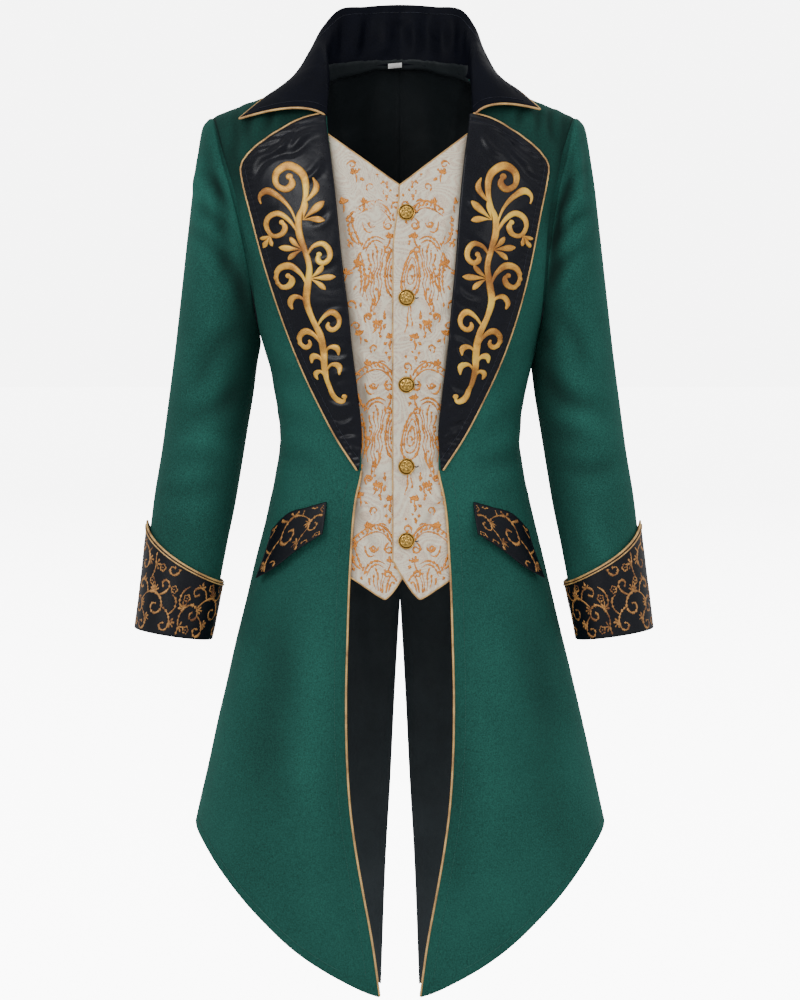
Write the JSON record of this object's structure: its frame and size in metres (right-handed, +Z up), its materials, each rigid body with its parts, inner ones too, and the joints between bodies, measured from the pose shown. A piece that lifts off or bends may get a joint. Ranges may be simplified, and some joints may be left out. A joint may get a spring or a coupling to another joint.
{
  "type": "costume tailcoat with a sewn-in vest front",
  "caption": "Tailcoat in its worn, hollow form: tall winged collar, wide lapels, vest front, pocket flaps, turned-back cuffs and pointed tails, open at neck, cuffs and hem.",
  "frame": {"origin": "base of the neck, midway between the shoulders, where the wearer's shoulders hold the coat", "axes": "+Z up, -Y out of the front, +X to the wearer's left"},
  "size_m": [0.61, 0.3215, 1.1896],
  "materials": {
    "green_velvet": "deep green cut velvet with a short nap",
    "black_satin": "black satin, softly shiny, a little puckered",
    "black_lining": "smooth black lining",
    "silver_brocade": "silver-cream brocade with a gold line pattern",
    "black_gold_damask": "black damask with gold vines",
    "gold_cord": "twisted gold cord piping",
    "gold_metal": "gilt metal",
    "white_tab": "plain white woven tab"
  },
  "bodies": {
    "root": {"front_left": "green_velvet", "back_left": "green_velvet", "back_lining_left": "black_lining", "sleeve_left": "green_velvet", "cuff_left": "black_gold_damask", "cuff_piping_left": "gold_cord", "lapel_left": "black_satin", "lapel_piping_left": "gold_cord", "front_piping_left": "gold_cord", "vest_left": "silver_brocade", "vest_piping_left": "gold_cord", "flap_left": "black_gold_damask", "collar_piping_left": "gold_cord", "front_right": "green_velvet", "back_right": "green_velvet", "back_lining_right": "black_lining", "sleeve_right": "green_velvet", "cuff_right": "black_gold_damask", "cuff_piping_right": "gold_cord", "lapel_right": "black_satin", "lapel_piping_right": "gold_cord", "front_piping_right": "gold_cord", "vest_right": "silver_brocade", "vest_piping_right": "gold_cord", "flap_right": "black_gold_damask", "collar_piping_right": "gold_cord", "collar": "black_satin", "button_1": "gold_metal", "button_2": "gold_metal", "button_3": "gold_metal", "button_4": "gold_metal", "button_5": "gold_metal", "neck_label": "white_tab"}
  },
  "joints": []
}
